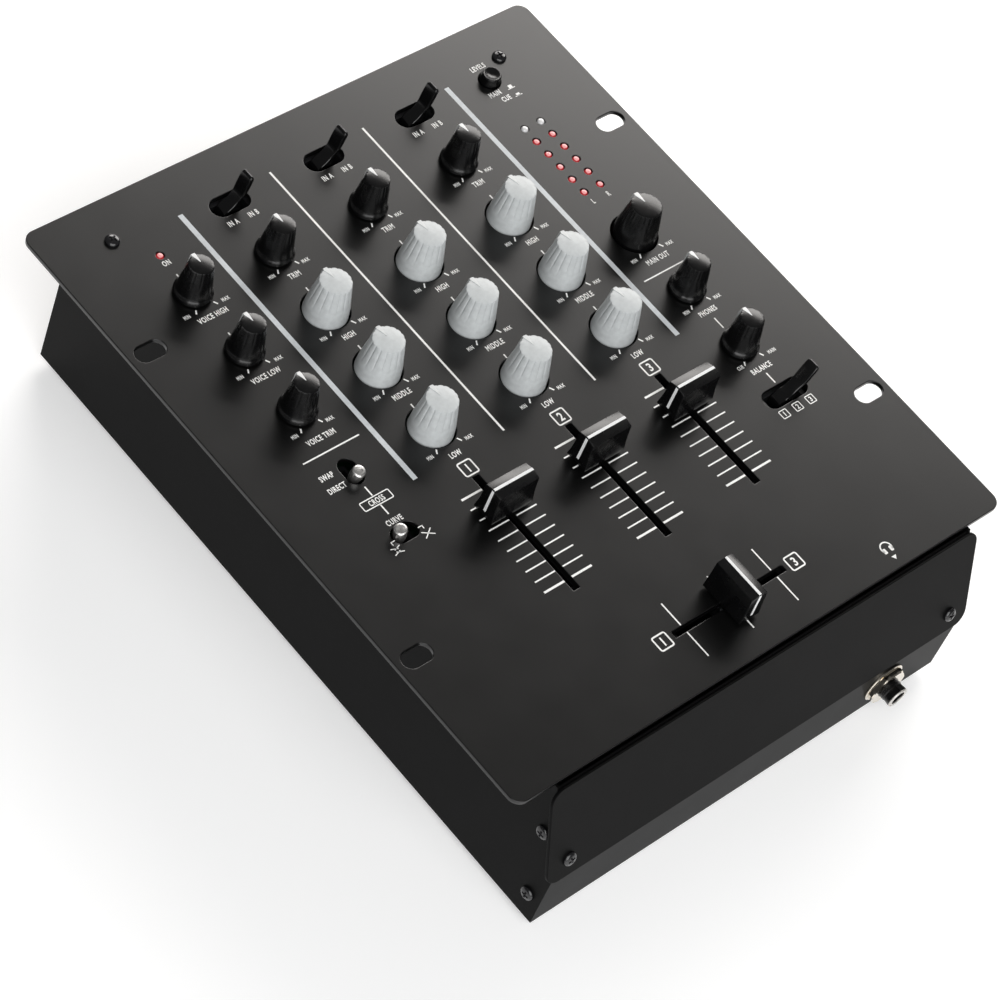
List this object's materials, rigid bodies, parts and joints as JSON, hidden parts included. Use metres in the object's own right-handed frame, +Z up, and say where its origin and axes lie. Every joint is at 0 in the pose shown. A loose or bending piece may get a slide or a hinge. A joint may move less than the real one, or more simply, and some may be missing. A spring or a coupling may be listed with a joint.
{
  "type": "mixing console",
  "caption": "Desktop mixing console: black case under an overhanging faceplate with tone knobs, channel faders, a crossfader, input levers, lamps and sockets.",
  "frame": {"origin": "On the floor under the middle of the whole console, front to back from the headphone jack's mouth to the phono shells", "axes": "+X to the user's right, +Y to the back, +Z up"},
  "size_m": [0.254, 0.313, 0.0969],
  "materials": {
    "faceplate_black": "satin powder coat",
    "case_black": "fine textured powder coat",
    "foot_rubber": "matt",
    "black_screw": "black oxide",
    "board_green": "solder mask",
    "plain_steel": "bright zinc",
    "part_plastic": "moulded",
    "lamp_red": "diffuse lens",
    "socket_black": "moulded",
    "bright_metal": "nickel plate",
    "control_black": "gloss moulding",
    "tone_knob_grey": "satin moulding"
  },
  "bodies": {
    "root": {"faceplate": "faceplate_black", "front_panel": "case_black", "left_side_panel": "case_black", "right_side_panel": "case_black", "rear_panel": "case_black", "case_tray": "case_black", "rubber_feet": "foot_rubber", "faceplate_screws": "black_screw", "front_panel_screws": "black_screw", "case_screws": "black_screw", "circuit_boards": "board_green", "board_standoffs": "plain_steel", "pot_bodies": "part_plastic", "channel_fader_bodies": "plain_steel", "crossfader_body": "plain_steel", "lever_switch_bodies": "part_plastic", "small_switch_bodies": "part_plastic", "indicator_leds": "lamp_red", "headphone_jack_body": "socket_black", "headphone_jack_hardware": "bright_metal", "mic_jack": "socket_black", "phono_blocks": "socket_black", "phono_shells": "bright_metal", "ground_post": "bright_metal", "power_inlet": "socket_black", "power_switch_body": "socket_black"},
    "ch1_treble_knob_body": {"ch1_treble_knob": "tone_knob_grey"},
    "ch1_mid_knob_body": {"ch1_mid_knob": "tone_knob_grey"},
    "ch1_bass_knob_body": {"ch1_bass_knob": "tone_knob_grey"},
    "ch1_gain_knob_body": {"ch1_gain_knob": "control_black"},
    "ch2_treble_knob_body": {"ch2_treble_knob": "tone_knob_grey"},
    "ch2_mid_knob_body": {"ch2_mid_knob": "tone_knob_grey"},
    "ch2_bass_knob_body": {"ch2_bass_knob": "tone_knob_grey"},
    "ch2_gain_knob_body": {"ch2_gain_knob": "control_black"},
    "ch3_treble_knob_body": {"ch3_treble_knob": "tone_knob_grey"},
    "ch3_mid_knob_body": {"ch3_mid_knob": "tone_knob_grey"},
    "ch3_bass_knob_body": {"ch3_bass_knob": "tone_knob_grey"},
    "ch3_gain_knob_body": {"ch3_gain_knob": "control_black"},
    "master_knob_body": {"master_knob": "control_black"},
    "mic_treble_knob_body": {"mic_treble_knob": "control_black"},
    "mic_bass_knob_body": {"mic_bass_knob": "control_black"},
    "mic_gain_knob_body": {"mic_gain_knob": "control_black"},
    "cue_gain_knob_body": {"cue_gain_knob": "control_black"},
    "cue_mix_knob_body": {"cue_mix_knob": "control_black"},
    "ch1_fader": {"ch1_fader_cap": "control_black", "ch1_fader_stem": "plain_steel"},
    "ch2_fader": {"ch2_fader_cap": "control_black", "ch2_fader_stem": "plain_steel"},
    "ch3_fader": {"ch3_fader_cap": "control_black", "ch3_fader_stem": "plain_steel"},
    "crossfader": {"crossfader_cap": "control_black", "crossfader_stem": "plain_steel"},
    "ch1_input_lever_body": {"ch1_input_lever": "control_black"},
    "ch2_input_lever_body": {"ch2_input_lever": "control_black"},
    "ch3_input_lever_body": {"ch3_input_lever": "control_black"},
    "cue_lever_body": {"cue_lever": "control_black"},
    "reverse_toggle_body": {"reverse_toggle": "bright_metal"},
    "slope_toggle_body": {"slope_toggle": "bright_metal"},
    "meter_button_body": {"meter_button": "control_black"},
    "power_rocker_body": {"power_rocker": "control_black"}
  },
  "joints": [
    {"name": "ch1_treble_turn", "type": "hinge", "parent": "root", "child": "ch1_treble_knob_body", "pos_m": [-0.047, 0.0724, 0.079], "axis": [0, 0, -1], "range_deg": [-150, 150]},
    {"name": "ch1_mid_turn", "type": "hinge", "parent": "root", "child": "ch1_mid_knob_body", "pos_m": [-0.047, 0.0412, 0.079], "axis": [0, 0, -1], "range_deg": [-150, 150]},
    {"name": "ch1_bass_turn", "type": "hinge", "parent": "root", "child": "ch1_bass_knob_body", "pos_m": [-0.047, 0.01, 0.079], "axis": [0, 0, -1], "range_deg": [-150, 150]},
    {"name": "ch1_gain_turn", "type": "hinge", "parent": "root", "child": "ch1_gain_knob_body", "pos_m": [-0.047, 0.1036, 0.079], "axis": [0, 0, -1], "range_deg": [-150, 150]},
    {"name": "ch2_treble_turn", "type": "hinge", "parent": "root", "child": "ch2_treble_knob_body", "pos_m": [0, 0.0724, 0.079], "axis": [0, 0, -1], "range_deg": [-150, 150]},
    {"name": "ch2_mid_turn", "type": "hinge", "parent": "root", "child": "ch2_mid_knob_body", "pos_m": [0, 0.0412, 0.079], "axis": [0, 0, -1], "range_deg": [-150, 150]},
    {"name": "ch2_bass_turn", "type": "hinge", "parent": "root", "child": "ch2_bass_knob_body", "pos_m": [0, 0.01, 0.079], "axis": [0, 0, -1], "range_deg": [-150, 150]},
    {"name": "ch2_gain_turn", "type": "hinge", "parent": "root", "child": "ch2_gain_knob_body", "pos_m": [0, 0.1036, 0.079], "axis": [0, 0, -1], "range_deg": [-150, 150]},
    {"name": "ch3_treble_turn", "type": "hinge", "parent": "root", "child": "ch3_treble_knob_body", "pos_m": [0.047, 0.0724, 0.079], "axis": [0, 0, -1], "range_deg": [-150, 150]},
    {"name": "ch3_mid_turn", "type": "hinge", "parent": "root", "child": "ch3_mid_knob_body", "pos_m": [0.047, 0.0412, 0.079], "axis": [0, 0, -1], "range_deg": [-150, 150]},
    {"name": "ch3_bass_turn", "type": "hinge", "parent": "root", "child": "ch3_bass_knob_body", "pos_m": [0.047, 0.01, 0.079], "axis": [0, 0, -1], "range_deg": [-150, 150]},
    {"name": "ch3_gain_turn", "type": "hinge", "parent": "root", "child": "ch3_gain_knob_body", "pos_m": [0.047, 0.1036, 0.079], "axis": [0, 0, -1], "range_deg": [-150, 150]},
    {"name": "master_turn", "type": "hinge", "parent": "root", "child": "master_knob_body", "pos_m": [0.0866, 0.0412, 0.079], "axis": [0, 0, -1], "range_deg": [-150, 150]},
    {"name": "mic_treble_turn", "type": "hinge", "parent": "root", "child": "mic_treble_knob_body", "pos_m": [-0.0866, 0.1036, 0.079], "axis": [0, 0, -1], "range_deg": [-150, 150]},
    {"name": "mic_bass_turn", "type": "hinge", "parent": "root", "child": "mic_bass_knob_body", "pos_m": [-0.0866, 0.0724, 0.079], "axis": [0, 0, -1], "range_deg": [-150, 150]},
    {"name": "mic_gain_turn", "type": "hinge", "parent": "root", "child": "mic_gain_knob_body", "pos_m": [-0.0866, 0.0412, 0.079], "axis": [0, 0, -1], "range_deg": [-150, 150]},
    {"name": "cue_gain_turn", "type": "hinge", "parent": "root", "child": "cue_gain_knob_body", "pos_m": [0.0866, 0.01, 0.079], "axis": [0, 0, -1], "range_deg": [-150, 150]},
    {"name": "cue_mix_turn", "type": "hinge", "parent": "root", "child": "cue_mix_knob_body", "pos_m": [0.0866, -0.0212, 0.079], "axis": [0, 0, -1], "range_deg": [-150, 150]},
    {"name": "ch1_fader_slide", "type": "slide", "parent": "root", "child": "ch1_fader", "axis": [0, 1, 0], "range_m": [-0.0371, 0.0099]},
    {"name": "ch2_fader_slide", "type": "slide", "parent": "root", "child": "ch2_fader", "axis": [0, 1, 0], "range_m": [-0.0371, 0.0099]},
    {"name": "ch3_fader_slide", "type": "slide", "parent": "root", "child": "ch3_fader", "axis": [0, 1, 0], "range_m": [-0.0371, 0.0099]},
    {"name": "crossfader_slide", "type": "slide", "parent": "root", "child": "crossfader", "axis": [1, 0, 0], "range_m": [-0.0235, 0.0235]},
    {"name": "ch1_input_tilt", "type": "hinge", "parent": "root", "child": "ch1_input_lever_body", "pos_m": [-0.047, 0.1307, 0.074], "axis": [0, 1, 0], "range_deg": [-36, 0]},
    {"name": "ch2_input_tilt", "type": "hinge", "parent": "root", "child": "ch2_input_lever_body", "pos_m": [0, 0.1307, 0.074], "axis": [0, 1, 0], "range_deg": [-36, 0]},
    {"name": "ch3_input_tilt", "type": "hinge", "parent": "root", "child": "ch3_input_lever_body", "pos_m": [0.047, 0.1307, 0.074], "axis": [0, 1, 0], "range_deg": [-36, 0]},
    {"name": "cue_tilt", "type": "hinge", "parent": "root", "child": "cue_lever_body", "pos_m": [0.0866, -0.0477, 0.074], "axis": [0, 1, 0], "range_deg": [-72, 0]},
    {"name": "reverse_tilt", "type": "hinge", "parent": "root", "child": "reverse_toggle_body", "pos_m": [-0.0866, 0.0096, 0.0675], "axis": [1, 0, 0], "range_deg": [-24, 0]},
    {"name": "slope_tilt", "type": "hinge", "parent": "root", "child": "slope_toggle_body", "pos_m": [-0.0866, -0.0214, 0.0675], "axis": [0, -1, 0], "range_deg": [-24, 0]},
    {"name": "meter_push", "type": "slide", "parent": "root", "child": "meter_button_body", "axis": [0, 0, 1], "range_m": [-0.002, 0], "stiffness_N_per_m": 150, "springref_m": 0.001},
    {"name": "power_tilt", "type": "hinge", "parent": "root", "child": "power_rocker_body", "pos_m": [0.072, 0.1463, 0.036], "axis": [1, 0, 0], "range_deg": [-16, 0]}
  ]
}
